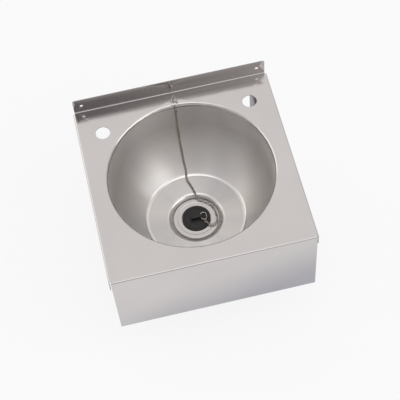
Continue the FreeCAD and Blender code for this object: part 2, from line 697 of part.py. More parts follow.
def chain_route():
    """Return the chain's route as knots from the triangle to the plug's ring, about the bowl's centre."""
    lift = size(LINK_LIFT)
    wire = size("Sizes.LinkWire")
    x = size("Sizes.StayOffset")
    rim_y = size(RIM)
    rim_z = -size("Sizes.RimRadius")
    _, hook = triangle_ends()
    out = FreeCAD.Vector(0, hook.y - rim_y, hook.z - rim_z)
    along = FreeCAD.Vector(0, -out.z, out.y).normalize()
    reach = out.Length
    knots = [hook - along * size("Sizes.TriangleWire / 2 + Sizes.LinkGap")]
    start = math.atan2(out.z, -out.y)
    for share in (0.1, 0.45, 0.8):
        angle = start * (1 - share)
        knots.append(FreeCAD.Vector(x, rim_y - reach * math.cos(angle), rim_z + reach * math.sin(angle)))
    for share in (0.3, 0.65):
        knots.append(FreeCAD.Vector(x, rim_y - reach, -size(WALL_DEPTH) * share))
    for share in (0.0, 0.2, 0.4, 0.6, 0.8, 0.93):
        radius, height = wall_point(share, -lift - wire / 2)
        knots.append(FreeCAD.Vector(x, size(radius), size(height)))

    # Across the floor and down over the recess, with the drift to the right as a share of the whole.
    recess = size("Sizes.RecessRadius")
    across = size(wall_point(1)[0]) - recess
    drift = size("Sizes.ChainDrift")
    floor = size(RECESS_TOP)
    fall = size("Sizes.FloorFall")
    knots.append(floor_knot(drift * 0.065, recess + across * 0.775, floor + fall * 0.9))
    knots.append(floor_knot(drift * 0.457, recess + across * 0.43, floor + fall * 0.5))
    knots.append(floor_knot(drift * 0.717, recess + across * 0.115, floor + wire * 0.5))
    knots.append(floor_knot(drift * 0.837, recess * 0.963, floor - wire * 0.1))
    knots.append(floor_knot(drift, recess * 0.82, size(FLANGE_TOP) + wire * 0.8))

    # Round the plug in a loop over the waste's flange, then back over the plug to its ring.
    loop = size("Sizes.ChainLoopRadius")
    flange = size(FLANGE_TOP) + wire * 0.1
    plug = size(PLUG_TOP)
    turns = [(bearing, 1.0, flange) for bearing in (60, 45, 30, 15, 0)]
    turns += [(-13.4, 1.031, flange), (-26.4, 1.042, flange + wire * 0.1)]
    turns += [(-38.4, 0.931, plug), (-44.3, 0.727, plug + wire * 0.1), (-41.1, 0.556, plug + wire * 0.1)]
    for bearing, share, height in turns:
        angle = math.radians(bearing)
        knots.append(floor_knot(loop * share * math.cos(angle), loop * share * math.sin(angle), height))
    arm_x, arm_y, arm_z = ring_arm()
    knots.append(FreeCAD.Vector(arm_x, arm_y - wire * 2.5, arm_z))
    knots.append(FreeCAD.Vector(arm_x, arm_y + size("Sizes.RingWire / 2 + Sizes.LinkGap"), arm_z))
    return knots


def ring_arm():
    """Return the place on the plug ring's front arm that the last link hooks round."""
    tilt = math.radians(ring_tilt())
    along = size("Sizes.RingLength - Sizes.RingWire - Sizes.RingCorner") * 0.85
    x = size(RING_X) + along * math.cos(tilt)
    y = -size("(Sizes.RingWidth - Sizes.RingWire) / 2")
    z = size(RING_Z) - along * math.sin(tilt)
    return x, y, z


def make_chain():
    """Lay the links along the route, each turned a quarter turn from the one before it."""
    curve = Part.BSplineCurve()
    curve.interpolate(chain_route())
    route = curve.toShape()
    count = math.ceil(route.Length / size("Sizes.LinkPitch"))
    count += 1 - count % 2
    pivots = route.discretize(Number=count + 1)
    link = link_shape()
    low = -size("Sizes.BowlDepth") * 0.84
    links = []
    for index in range(count):
        start, end = pivots[index], pivots[index + 1]
        middle = (start + end) / 2
        heading = (end - start).normalize()
        facing = FreeCAD.Vector(0, 0, 1) if middle.z < low else FreeCAD.Vector(-middle.x, -middle.y, 0)
        lean = 45 * min(1, index / 8, (count - 1 - index) / 8)
        flat = FreeCAD.Rotation(heading, facing.cross(heading), facing, "XZY")
        turn = FreeCAD.Rotation(FreeCAD.Vector(1, 0, 0), 90 * (index + 1) - lean)
        links.append(link.transformed(FreeCAD.Placement(middle, flat * turn).toMatrix()))
    chain = DOC.addObject("Part::Feature", "chain_links")
    chain.Label = "chain_links"
    chain.Shape = Part.makeCompound(links)
    chain.setExpression("Placement.Base.y", f"-{BACK}")
    chain.setExpression("Placement.Base.z", "-Sizes.ScrewHeight")
    DOC.recompute()
    return chain


def main():
    """Build every sub-part, check them all and write one file for each."""
    nodes = [
        make_basin_top(),
        make_side_panel("side_panel_left", -1),
        make_side_panel("side_panel_right", 1),
        make_bowl(),
        make_waste_body(),
        make_waste_ring("waste_top_seal", RECESS_FLOOR, "Sizes.TopSeal"),
        make_waste_ring("waste_bottom_seal", f"{BOWL_UNDER} - Sizes.BottomSeal", "Sizes.BottomSeal"),
        make_waste_ring("waste_slip_washer", f"{BOWL_UNDER} - Sizes.BottomSeal - Sizes.SlipWasher",
                        "Sizes.SlipWasher"),
        make_waste_backnut(f"({BOWL_UNDER} - Sizes.BottomSeal - Sizes.SlipWasher)"),
        make_plug(),
        make_plug_ring(),
        make_stay_eye(),
        make_stay_washer(),
        make_stay_nut(),
        make_stay_triangle(),
        make_chain(),
    ]
    DOC.recompute()
    for item in DOC.Objects:
        if "Invalid" in item.State or "Error" in item.State:
            raise RuntimeError(f"{item.Label} failed: {item.State}")
    os.makedirs("parts", exist_ok=True)
    for node in nodes:
        shape = node.Shape
        if shape.isNull() or not shape.isValid():
            raise RuntimeError(f"{node.Label} has no valid shape")
        shape.exportStep(f"parts/{node.Label}.step")


main()
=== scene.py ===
import bpy
import bmesh
import math
import numpy as np
from mathutils import Euler, Matrix, Vector


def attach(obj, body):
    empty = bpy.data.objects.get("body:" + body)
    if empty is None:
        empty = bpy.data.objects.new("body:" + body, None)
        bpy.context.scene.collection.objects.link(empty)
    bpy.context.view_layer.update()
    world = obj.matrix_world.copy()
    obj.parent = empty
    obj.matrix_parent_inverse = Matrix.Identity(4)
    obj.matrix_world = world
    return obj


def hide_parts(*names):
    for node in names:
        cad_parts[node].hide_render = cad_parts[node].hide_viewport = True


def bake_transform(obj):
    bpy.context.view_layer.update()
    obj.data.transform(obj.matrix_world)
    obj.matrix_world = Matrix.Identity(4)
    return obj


# Stainless steel hand wash sink: looks, in the CAD model's own frame. X to the right, Y to the wall, Z up,
# origin midway between the two screw holes of the upstand. Lengths in the code are millimetres.

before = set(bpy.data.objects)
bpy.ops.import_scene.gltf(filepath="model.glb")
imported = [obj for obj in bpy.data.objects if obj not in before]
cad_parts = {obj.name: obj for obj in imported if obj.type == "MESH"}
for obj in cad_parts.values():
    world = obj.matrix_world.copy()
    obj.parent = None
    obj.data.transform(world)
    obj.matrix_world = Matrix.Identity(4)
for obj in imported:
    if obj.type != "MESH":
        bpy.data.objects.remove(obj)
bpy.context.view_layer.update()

MM = 0.001
AXIS_Y = -149.0
DECK = -14.0

BOWL_RADIUS = 122.0
COLLAR_DEPTH = 6.0
WALL_CURVE = 89.0
WALL_TURN = math.radians(61.2)
CREASE_Z = DECK - 127.0
CREASE_RADIUS = BOWL_RADIUS - WALL_CURVE + WALL_CURVE * math.cos(WALL_TURN)
RECESS_RADIUS = 41.0
RECESS_TOP = CREASE_Z - 2.0
RECESS_FLOOR = RECESS_TOP - 7.0
RECESS_FOOT = 37.5
BOWL_SHEET = 1.0

WASTE_HOLE = 24.5
TOP_SEAL = 1.5
BOTTOM_SEAL = 3.0
SLIP_RING = 1.0
FLANGE_UNDER = RECESS_FLOOR + TOP_SEAL
FLANGE_TOP = FLANGE_UNDER + 2.0
FLANGE_RADIUS = 36.0
LEDGE_Z = FLANGE_TOP - 2.6
TAIL_END = FLANGE_UNDER - 68.0

PLUG_TOP = LEDGE_Z + 3.2
PLUG_FACE = PLUG_TOP - 1.0
RING_X = 7.7
RING_Z = -143.25
RING_REACH = 8.4

STAY_X = 2.0
STAY_Y = -14.5
EYE_Z = -8.3

LINKS_BY_RING = 9
FLOOR_Z = TAIL_END - 0.3

BOWL_STEPS = 160
TURN_STEPS = 96
SMALL_STEPS = 48


# Shader nodes ----------------------------------------------------------------------------------------------
def dot_with(tree, vector, direction):
    """Return the dot product of a vector output with a fixed direction."""
    node = tree.nodes.new("ShaderNodeVectorMath")
    node.operation = "DOT_PRODUCT"
    node.inputs[1].default_value = direction
    tree.links.new(vector, node.inputs[0])
    return node.outputs["Value"]


def ranged(tree, value, start, end, low=0.0, high=1.0):
    """Return a value taken from one range to another."""
    node = tree.nodes.new("ShaderNodeMapRange")
    for key, number in (("From Min", start), ("From Max", end), ("To Min", low), ("To Max", high)):
        node.inputs[key].default_value = number
    tree.links.new(value, node.inputs["Value"])
    return node.outputs["Result"]


def ramped(tree, value, *stops):
    """Return a colour that a value picks from a ramp of position and colour pairs."""
    node = tree.nodes.new("ShaderNodeValToRGB")
    for element, (position, colour) in zip(node.color_ramp.elements, stops):
        element.position = position
        element.color = (*colour, 1)
    tree.links.new(value, node.inputs[0])
    return node.outputs[0]


# Materials -------------------------------------------------------------------------------------------------
class Finish:
    """One surface finish, built up node by node."""

    def __init__(self, name, colour, roughness, metallic=0.0):
        self.material = bpy.data.materials.new(name)
        self.material.use_nodes = True
        self.tree = self.material.node_tree
        self.shader = self.tree.nodes["Principled BSDF"]
        self.shader.inputs["Base Color"].default_value = (*colour, 1)
        self.shader.inputs["Roughness"].default_value = roughness
        self.shader.inputs["Metallic"].default_value = metallic
        self.colour = colour
        self.object_point = self.add("ShaderNodeTexCoord").outputs["Object"]

    def add(self, kind, **settings):
        """Add a node and set its properties and unlinked inputs."""
        node = self.tree.nodes.new(kind)
        for key, value in settings.items():
            if hasattr(node, key):
                setattr(node, key, value)
            else:
                node.inputs[key.replace("_", " ")].default_value = value
        return node

    def link(self, start, end):
        """Join an output to an input."""
        self.tree.links.new(start, end)

    def centred(self, middle, stretch=(1, 1, 1)):
        """Return the object's own point, measured from a middle and stretched along each axis."""
        node = self.add("ShaderNodeMapping", vector_type="POINT")
        node.inputs["Location"].default_value = [-place * MM * by for place, by in zip(middle, stretch)]
        node.inputs["Scale"].default_value = stretch
        self.link(self.object_point, node.inputs["Vector"])
        return node.outputs["Vector"]

    def around(self, middle):
        """Return a point that runs outwards and up but is the same all round an upright axis."""
        centred = self.centred(middle)
        apart = self.add("ShaderNodeSeparateXYZ")
        self.link(centred, apart.inputs[0])
        flat = self.add("ShaderNodeCombineXYZ")
        self.link(apart.outputs["X"], flat.inputs["X"])
        self.link(apart.outputs["Y"], flat.inputs["Y"])
        reach = self.add("ShaderNodeVectorMath", operation="LENGTH")
        self.link(flat.outputs[0], reach.inputs[0])
        ring = self.add("ShaderNodeCombineXYZ")
        self.link(reach.outputs["Value"], ring.inputs["X"])
        self.link(apart.outputs["Z"], ring.inputs["Z"])
        return ring.outputs[0]

    def circling(self, middle):
        """Return the level direction that runs round an upright axis."""
        apart = self.add("ShaderNodeSeparateXYZ")
        self.link(self.centred(middle), apart.inputs[0])
        minus_y = self.add("ShaderNodeMath", operation="MULTIPLY")
        minus_y.inputs[1].default_value = -1.0
        self.link(apart.outputs["Y"], minus_y.inputs[0])
        direction = self.add("ShaderNodeCombineXYZ")
        self.link(minus_y.outputs[0], direction.inputs["X"])
        self.link(apart.outputs["X"], direction.inputs["Y"])
        return direction.outputs[0]

    def noise(self, point, scale, detail=3.0, roughness=0.55):
        """Return a cloudy pattern from 0 to 1 at a scale in cells to the metre."""
        node = self.add("ShaderNodeTexNoise", Scale=scale, Detail=detail, Roughness=roughness)
        self.link(point, node.inputs["Vector"])
        return node.outputs["Fac"]

    def spread(self, pattern, low, high, start=0.3, end=0.7):
        """Turn a pattern into a number between two others."""
        return ranged(self.tree, pattern, start, end, low, high)

    def vary_colour(self, pattern, dark, light):
        """Let a pattern take the base colour between two shares of itself, each a number or a tint."""
        node = self.add("ShaderNodeMix", data_type="RGBA")
        sockets = [socket for socket in node.inputs if socket.type == "RGBA"]
        for socket, share in zip(sockets, (dark, light)):
            socket.default_value = (*(np.array(self.colour) * share).tolist(), 1)
        self.link(self.spread(pattern, 0.0, 1.0), node.inputs[0])
        result = [socket for socket in node.outputs if socket.type == "RGBA"][0]
        self.link(result, self.shader.inputs["Base Color"])

    def vary_roughness(self, pattern, low, high):
        """Let a pattern take the roughness between two values."""
        self.link(self.spread(pattern, low, high), self.shader.inputs["Roughness"])

    def relief(self, pattern, height, strength=1.0):
        """Let a pattern raise the surface by a height in millimetres."""
        node = self.add("ShaderNodeBump", Strength=strength)
        node.inputs["Distance"].default_value = height * MM
        self.link(pattern, node.inputs["Height"])
        if self.shader.inputs["Normal"].is_linked:
            self.link(self.shader.inputs["Normal"].links[0].from_socket, node.inputs["Normal"])
        self.link(node.outputs["Normal"], self.shader.inputs["Normal"])


def folded_steel():
    """Satin sheet: a fine grain across the sink, faint handling clouds, hardly any relief."""
    finish = Finish("satin_sheet_steel", (0.605, 0.575, 0.572), 0.14, metallic=1.0)
    middle = (0, AXIS_Y, DECK)
    grain = finish.noise(finish.centred(middle, (0.05, 1, 1)), 2600, detail=4)
    clouds = finish.noise(finish.centred(middle), 11, detail=3)
    finish.vary_roughness(grain, 0.1, 0.19)
    finish.vary_colour(clouds, 0.97, 1.02)
    finish.relief(grain, 0.002, 0.4)
    return finish.material


def pressed_steel():
    """Polished pressing: satin down the wall, soft upright stripes of painted reflection, bluish to warm, in its
    colour, and bends that the press has burnished.
    """
    finish = Finish("polished_bowl_steel", (0.655, 0.634, 0.622), 0.38, metallic=1.0)
    middle = (0, AXIS_Y, CREASE_Z)
    finish.shader.inputs["Anisotropic Rotation"].default_value = 0.25
    finish.link(finish.circling(middle), finish.shader.inputs["Tangent"])
    profile = finish.around(middle)
    rings = finish.noise(profile, 2600, detail=3)
    clouds = finish.noise(finish.centred(middle), 16, detail=4)

    nearest = finish.add("ShaderNodeMath", operation="MINIMUM")
    for place, (radius, height) in enumerate(((CREASE_RADIUS, CREASE_Z), (RECESS_RADIUS, RECESS_TOP))):
        bend = finish.add("ShaderNodeVectorMath", operation="DISTANCE")
        finish.link(profile, bend.inputs[0])
        bend.inputs[1].default_value = (radius * MM, 0, (height - CREASE_Z) * MM)
        finish.link(bend.outputs["Value"], nearest.inputs[place])
    from_bend = finish.spread(nearest.outputs[0], 0.0, 1.0, start=1.6 * MM, end=3.8 * MM)
    finish.link(finish.spread(from_bend, 0.2, 0.85, start=0, end=1), finish.shader.inputs["Anisotropic"])
    rough = finish.add("ShaderNodeMath", operation="MULTIPLY")
    finish.link(finish.spread(rings, 0.34, 0.42), rough.inputs[0])
    finish.link(finish.spread(from_bend, 0.45, 1.0, start=0, end=1), rough.inputs[1])
    finish.link(rough.outputs[0], finish.shader.inputs["Roughness"])

    outwards = finish.add("ShaderNodeVectorMath", operation="NORMALIZE")
    finish.link(finish.centred(middle, (1, 1, 0)), outwards.inputs[0])
    # painted reflection: broad upright stripes round the axis take the colour from bluish to warm, mixed with
    # the handling clouds
    painted_reflection_bands = finish.noise(outwards.outputs[0], 1.7, detail=1)
    clouds_and_painted_reflection = finish.add("ShaderNodeMath", operation="MULTIPLY_ADD")
    finish.link(clouds, clouds_and_painted_reflection.inputs[0])
    clouds_and_painted_reflection.inputs[1].default_value = 0.3
    finish.link(finish.spread(painted_reflection_bands, 0.15, 0.55), clouds_and_painted_reflection.inputs[2])
    finish.vary_colour(clouds_and_painted_reflection.outputs[0], (0.93, 0.945, 0.965), (1.1, 1.08, 1.06))
    return finish.material


def turned_chrome():
    """Plated brass of the waste: bright, with the lathe's faint rings under the plating."""
    finish = Finish("waste_chrome_plate", (0.56, 0.53, 0.525), 0.2, metallic=1.0)
    rings = finish.noise(finish.around((0, AXIS_Y, FLANGE_TOP)), 900, detail=2)
    finish.vary_roughness(rings, 0.12, 0.2)
    finish.relief(rings, 0.003, 0.5)
    return finish.material


def wire_chrome(name, colour, roughness):
    """Plated wire: bright, its roughness a little uneven from drawing and bending, and a cloudy spread of
    painted glints and painted shade in its colour.
    """
    finish = Finish(name, colour, roughness, metallic=1.0)
    unevenness_and_painted_glints = finish.noise(finish.centred((0, 0, 0)), 230, detail=2)
    finish.vary_roughness(unevenness_and_painted_glints, roughness * 0.7, roughness * 1.4)
    # painted glints and painted shade: the same noise takes the colour from 0.4 to 1.5 times the wire's own
    finish.vary_colour(unevenness_and_painted_glints, 0.4, 1.5)
    return finish.material


def moulded_rubber(name, colour, roughness):
    """Matt rubber: a fine stipple from the mould and a dusty unevenness."""
    finish = Finish(name, colour, roughness)
    finish.shader.inputs["Specular IOR Level"].default_value = 0.4
    stipple = finish.noise(finish.centred((0, AXIS_Y, PLUG_TOP)), 2600, detail=2)
    dust = finish.noise(finish.centred((0, AXIS_Y, PLUG_TOP)), 130, detail=4)
    finish.vary_colour(dust, 0.8, 1.35)
    finish.vary_roughness(dust, roughness - 0.08, roughness + 0.1)
    finish.relief(stipple, 0.02, 0.5)
    return finish.material


def moulded_plastic():
    """White moulded plastic of the back nut, a little glossy, with flow clouds."""
    finish = Finish("white_nut_plastic", (0.72, 0.72, 0.7), 0.42)
    flow = finish.noise(finish.centred((0, AXIS_Y, -160), (1, 1, 0.4)), 60, detail=3)
    stipple = finish.noise(finish.centred((0, AXIS_Y, -160)), 1800, detail=2)
    finish.vary_colour(flow, 0.95, 1.03)
    finish.vary_roughness(flow, 0.36, 0.48)
    finish.relief(stipple, 0.015, 0.5)
    return finish.material


SATIN = folded_steel()
POLISHED = pressed_steel()
WASTE_CHROME = turned_chrome()
CHAIN_CHROME = wire_chrome("chain_chrome_plate", (0.46, 0.42, 0.385), 0.07)
STAY_CHROME = wire_chrome("stay_chrome_plate", (0.5, 0.49, 0.47), 0.14)
PLUG_RUBBER = moulded_rubber("plug_black_rubber", (0.021, 0.0185, 0.018), 0.42)
SEAL_RUBBER = moulded_rubber("seal_black_rubber", (0.03, 0.03, 0.03), 0.55)
NUT_PLASTIC = moulded_plastic()


# Making pieces ---------------------------------------------------------------------------------------------
def keep(bm, name, material, body, slot, *nodes, crease=35, even=True):
    """Turn a finished bmesh into a piece that rides on a body and stands for its CAD nodes."""
    mesh = bpy.data.meshes.new(name)
    bm.to_mesh(mesh)
    bm.free()
    mesh.materials.append(material)
    mesh.shade_smooth()
    mesh.set_sharp_from_angle(angle=math.radians(crease))
    piece = bpy.data.objects.new(name, mesh)
    bpy.context.scene.collection.objects.link(piece)
    if even:
        shading = piece.modifiers.new("even_shading", "WEIGHTED_NORMAL")
        shading.keep_sharp = True
        shading.weight = 60
    if body:
        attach(piece, body)
    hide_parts(*nodes)
    return piece


def close_up(bm):
    """Merge doubled points and turn every face outwards."""
    bmesh.ops.remove_doubles(bm, verts=bm.verts, dist=1e-6)
    bmesh.ops.dissolve_degenerate(bm, dist=1e-7, edges=bm.edges)
    bmesh.ops.recalc_face_normals(bm, faces=bm.faces)


def turned(outline, steps=TURN_STEPS, middle=(0, AXIS_Y)):
    """Turn a closed outline of radius and height pairs about an upright axis."""
    bm = bmesh.new()
    verts = [bm.verts.new((radius * MM, 0, height * MM)) for radius, height in outline]
    edges = [bm.edges.new(pair) for pair in zip(verts, verts[1:] + verts[:1])]
    bmesh.ops.spin(bm, geom=verts + edges, cent=(0, 0, 0), axis=(0, 0, 1), angle=2 * math.pi,
                   steps=steps, use_merge=True)
    close_up(bm)
    bmesh.ops.translate(bm, verts=bm.verts, vec=(middle[0] * MM, middle[1] * MM, 0))
    return bm


def soften(bm, rings, width, segments=3, middle=(0, AXIS_Y)):
    """Round the turned edges that lie at the given radius and height pairs."""
    chosen = []
    for edge in bm.edges:
        places = []
        for vert in edge.verts:
            x = vert.co.x / MM - middle[0]
            y = vert.co.y / MM - middle[1]
            places.append((math.hypot(x, y), vert.co.z / MM))
        for radius, height in rings:
            if all(abs(r - radius) < 0.02 and abs(z - height) < 0.02 for r, z in places):
                chosen.append(edge)
                break
    bmesh.ops.bevel(bm, geom=chosen, offset=width * MM, offset_type="OFFSET", affect="EDGES",
                    segments=segments, profile=0.5, material=-1)


def soft_turned(outline, rounds, steps=TURN_STEPS, middle=(0, AXIS_Y)):
    """Turn an outline, then round its corners. Rounds pairs corner numbers with widths."""
    bm = turned(outline, steps, middle)
    for width, numbers in rounds:
        soften(bm, [outline[number] for number in numbers], width, middle=middle)
    return bm


def bent_wire(corners, bend, wire, around=16, steps=8):
    """Bend a closed loop of round wire in the XY plane through corners given anticlockwise."""
    bm = bmesh.new()
    points = [Vector((x * MM, y * MM, 0)) for x, y in corners]
    start = (points[-1] + points[0]) / 2
    heading = (points[0] - points[-1]).normalized()
    facing = Matrix.Translation(start) @ heading.to_track_quat("Z", "Y").to_matrix().to_4x4()
    bmesh.ops.create_circle(bm, segments=around, radius=wire / 2 * MM, cap_ends=False, matrix=facing)
    section = list(bm.edges)
    place = start

    def draw_on(step):
        """Draw the section straight on by a step."""
        drawn = bmesh.ops.extrude_edge_only(bm, edges=section)["geom"]
        ends = [item for item in drawn if isinstance(item, bmesh.types.BMVert)]
        bmesh.ops.translate(bm, verts=ends, vec=step)
        return [item for item in drawn if isinstance(item, bmesh.types.BMEdge)
                and all(vert in ends for vert in item.verts)]

    for index, corner in enumerate(points):
        on = (points[(index + 1) % len(points)] - corner).normalized()
        turn = heading.angle(on)
        run = bend * MM * math.tan(turn / 2)
        bend_start = corner - heading * run
        section = draw_on(bend_start - place)
        centre = bend_start + Vector((-heading.y, heading.x, 0)) * bend * MM
        spun = bmesh.ops.spin(bm, geom=section, cent=centre, axis=(0, 0, 1), angle=turn, steps=steps)
        section = [item for item in spun["geom_last"] if isinstance(item, bmesh.types.BMEdge)]
        place = corner + on * run
        heading = on
    draw_on(start - place)
    close_up(bm)
    return bm


def tidied(node):
    """Return a merged copy of a CAD node's mesh."""
    bm = bmesh.new()
    bm.from_mesh(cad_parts[node].data)
    bmesh.ops.remove_doubles(bm, verts=bm.verts, dist=1e-6)
    return bm


def combined(first, second, operation):
    """Return the union or the difference of two closed bmeshes, each of one whole body."""
    items = []
    for part in (first, second):
        mesh = bpy.data.meshes.new("part")
        part.to_mesh(mesh)
        part.free()
        item = bpy.data.objects.new("part", mesh)
        bpy.context.scene.collection.objects.link(item)
        items.append(item)
    work = items[0].modifiers.new("combine", "BOOLEAN")
    work.operation = operation
    work.solver = "EXACT"
    work.object = items[1]
    bpy.context.view_layer.update()
    graph = bpy.context.evaluated_depsgraph_get()
    result = bmesh.new()
    result.from_mesh(items[0].evaluated_get(graph).to_mesh())
    for item in items:
        mesh = item.data
        bpy.data.objects.remove(item)
        bpy.data.meshes.remove(mesh)
    bmesh.ops.remove_doubles(result, verts=result.verts, dist=1e-7)
    return result


# Folded top and side panels --------------------------------------------------------------------------------
for node in ("basin_top", "side_panel_left", "side_panel_right"):
    keep(tidied(node), f"{node}_sheet", SATIN, "sink", "satin_steel", node, crease=40)


# Bowl ------------------------------------------------------------------------------------------------------
def wall_curve(offset, steps):
    """Return the points down the wide curve of the bowl's wall, from its top to the crease."""
    points = []
    top = CREASE_Z + WALL_CURVE * math.sin(WALL_TURN)
    for step in range(steps + 1):
        angle = WALL_TURN * step / steps
        reach = WALL_CURVE + offset
        points.append((BOWL_RADIUS - WALL_CURVE + reach * math.cos(angle), top - reach * math.sin(angle)))
    return points


def make_bowl():
    """Press the bowl: collar, upright wall, wide curve, crease, falling floor and the waste's recess."""
    inner = wall_curve(0, 20)
    outer = wall_curve(BOWL_SHEET, 20)
    slope = 0.6
    outline = [
        (BOWL_RADIUS, DECK - COLLAR_DEPTH),
        *inner,
        (RECESS_RADIUS, RECESS_TOP),
        (RECESS_FOOT, RECESS_FLOOR + 2.6),
        (RECESS_FOOT, RECESS_FLOOR),
        (WASTE_HOLE, RECESS_FLOOR),
        (WASTE_HOLE, RECESS_FLOOR - BOWL_SHEET),
        (RECESS_FOOT + slope, RECESS_FLOOR - BOWL_SHEET),
        (RECESS_RADIUS + slope, RECESS_TOP - BOWL_SHEET),
        *reversed(outer),
        (BOWL_RADIUS + BOWL_SHEET, DECK - COLLAR_DEPTH),
    ]
    bm = turned(outline, BOWL_STEPS)
    soften(bm, [inner[-1]], 2.2, segments=4)
    soften(bm, [(RECESS_RADIUS, RECESS_TOP)], 3.3, segments=8)
    soften(bm, [(RECESS_FOOT, RECESS_FLOOR)], 0.8)
    soften(bm, [outer[-1], (RECESS_RADIUS + slope, RECESS_TOP - BOWL_SHEET)], 1.6)
    keep(bm, "bowl_pressing", POLISHED, "sink", "polished_steel", "bowl", crease=30)


make_bowl()


# Waste -----------------------------------------------------------------------------------------------------
def make_waste():
    """Turn the flanged waste with its ledge, mouth, bore and thread, and lay the seals and slip ring round it.
    """
    mouth, seat, bore, tail = 22.6, 20.6, 20.0, 23.5
    root, crest, pitch = 23.2, 23.9, 2.0
    thread_end = FLANGE_UNDER - 22.0
    step_top, step_foot = (29.2, FLANGE_TOP), (28.6, FLANGE_TOP - 0.35)
    mouth_edge = (mouth, FLANGE_TOP - 0.35)
    bevel = 1.2
    outline = [
        mouth_edge,
        (mouth, LEDGE_Z),
        (seat, LEDGE_Z),
        (bore, LEDGE_Z - 8.0),
        (bore, TAIL_END),
        (tail - 1.0, TAIL_END),
        (tail, TAIL_END + 1.0),
        (tail, thread_end),
    ]
    height = thread_end + 0.4
    while height + pitch < FLANGE_UNDER - 1.5:
        if outline[-1] != (root, height):
            outline.append((root, height))
        outline += [(crest, height + pitch * 0.4), (crest, height + pitch * 0.6), (root, height + pitch)]
        height += pitch
    outline += [
        (root, FLANGE_UNDER),
        (FLANGE_RADIUS, FLANGE_UNDER),
        (FLANGE_RADIUS, FLANGE_TOP - bevel),
        (FLANGE_RADIUS - bevel, FLANGE_TOP),
        step_top,
        step_foot,
    ]
    bm = turned(outline)
    soften(bm, [mouth_edge], 0.5)
    soften(bm, [step_top, step_foot], 0.25)
    soften(bm, [(FLANGE_RADIUS, FLANGE_TOP - bevel), (FLANGE_RADIUS - bevel, FLANGE_TOP)], 0.4)
    keep(bm, "waste_turning", WASTE_CHROME, "sink", "waste_chrome", "waste_body", crease=32)

    def flat_ring(name, top, thickness, edge, material, slot, node):
        """Lay a flat ring with softened edges round the tail."""
        bottom = top - thickness
        outside = 34.0
        ring = [(WASTE_HOLE, top), (WASTE_HOLE, bottom), (outside, bottom), (outside, top)]
        keep(soft_turned(ring, [(edge, (0, 1, 2, 3))]), name, material, "sink", slot, node, crease=32)

    under = RECESS_FLOOR - BOWL_SHEET
    flat_ring("upper_seal", FLANGE_UNDER, TOP_SEAL, 0.3, SEAL_RUBBER, "seal_rubber", "waste_top_seal")
    flat_ring("lower_seal", under, BOTTOM_SEAL, 0.5, SEAL_RUBBER, "seal_rubber", "waste_bottom_seal")
    flat_ring("slip_ring", under - BOTTOM_SEAL, SLIP_RING, 0.2, NUT_PLASTIC, "nut_plastic", "waste_slip_washer")


make_waste()


def make_backnut():
    """Mould the back nut: a round collar on a hexagon with softened corners, bored for the tail."""
    top = RECESS_FLOOR - BOWL_SHEET - BOTTOM_SEAL - SLIP_RING
    collar_depth, collar_radius, bore_radius = 3.0, 33.4, 24.05
    hexagon_height, across_flats, bottom = 7.2, 56.0, top - 10.0
    middle = Matrix.Translation((0, AXIS_Y * MM, (bottom + hexagon_height / 2) * MM))
    reach = across_flats / 2 / math.cos(math.radians(30)) * MM
    hexagon = bmesh.new()
    bmesh.ops.create_cone(hexagon, cap_ends=True, segments=6, radius1=reach, radius2=reach,
                          depth=hexagon_height * MM, matrix=middle @ Matrix.Rotation(math.radians(30), 4, "Z"))
    bmesh.ops.bevel(hexagon, geom=list(hexagon.edges), offset=0.9 * MM, offset_type="OFFSET", affect="EDGES",
                    segments=3, profile=0.5, material=-1)
    foot = top - collar_depth
    collar = soft_turned([(0, top), (0, foot), (collar_radius, foot), (collar_radius, top)], [(0.5, (2, 3))])
    bore = turned([(0, top + 2), (0, bottom - 2), (bore_radius, bottom - 2), (bore_radius, top + 2)])
    nut = combined(combined(collar, hexagon, "UNION"), bore, "DIFFERENCE")
    keep(nut, "back_nut", NUT_PLASTIC, "sink", "nut_plastic", "waste_backnut", crease=32)


make_backnut()


# Plug and ring ---------------------------------------------------------------------------------------------
def make_plug():
    """Mould the plug: a head with a raised rim, a tapered body and a grip bar with a hole for the ring."""
    head_radius, body_depth = 22.0, 9.0
    outline = [
        (0, PLUG_FACE),
        (13.2, PLUG_FACE),
        (14.0, PLUG_FACE + 0.35),
        (14.8, PLUG_FACE),
        (17.6, PLUG_FACE),
        (18.5, PLUG_TOP),
        (head_radius - 0.8, PLUG_TOP),
        (head_radius, PLUG_TOP - 0.8),
        (head_radius, LEDGE_Z),
        (20.1, LEDGE_Z),
        (18.7, LEDGE_Z - body_depth),
        (0, LEDGE_Z - body_depth),
    ]
    head = soft_turned(outline, [(0.3, (2, 4, 5, 6, 7)), (0.5, (10,))])

    length, width, height = 19.0, 5.0, 7.0
    grip = bmesh.new()
    bmesh.ops.create_cube(grip, size=1.0)
    bmesh.ops.scale(grip, vec=(length * MM, width * MM, height * MM), verts=grip.verts)
    ends = [edge for edge in grip.edges
            if all(vert.co.z > 0 for vert in edge.verts) and abs(edge.verts[0].co.x - edge.verts[1].co.x) < 1e-6]
    bmesh.ops.bevel(grip, geom=ends, offset=2.6 * MM, offset_type="OFFSET", affect="EDGES",
                    segments=6, profile=0.5, material=-1)
    rims = [edge for edge in grip.edges if edge.is_manifold and edge.calc_face_angle() > math.radians(50)]
    bmesh.ops.bevel(grip, geom=rims, offset=0.7 * MM, offset_type="OFFSET", affect="EDGES",
                    segments=3, profile=0.5, material=-1)
    bmesh.ops.translate(grip, verts=grip.verts, vec=(0.8 * MM, AXIS_Y * MM, (PLUG_FACE + 3.0) * MM))

    hole = 1.3
    across = Matrix.Translation((RING_X * MM, AXIS_Y * MM, RING_Z * MM)) @ Matrix.Rotation(math.pi / 2, 4, "X")
    drill = bmesh.new()
    bmesh.ops.create_cone(drill, cap_ends=True, segments=24, radius1=hole * MM, radius2=hole * MM,
                          depth=8.0 * MM, matrix=across)
    plug = combined(head, combined(grip, drill, "DIFFERENCE"), "UNION")
    keep(plug, "plug_moulding", PLUG_RUBBER, "plug", "plug_rubber", "plug", crease=40)


make_plug()


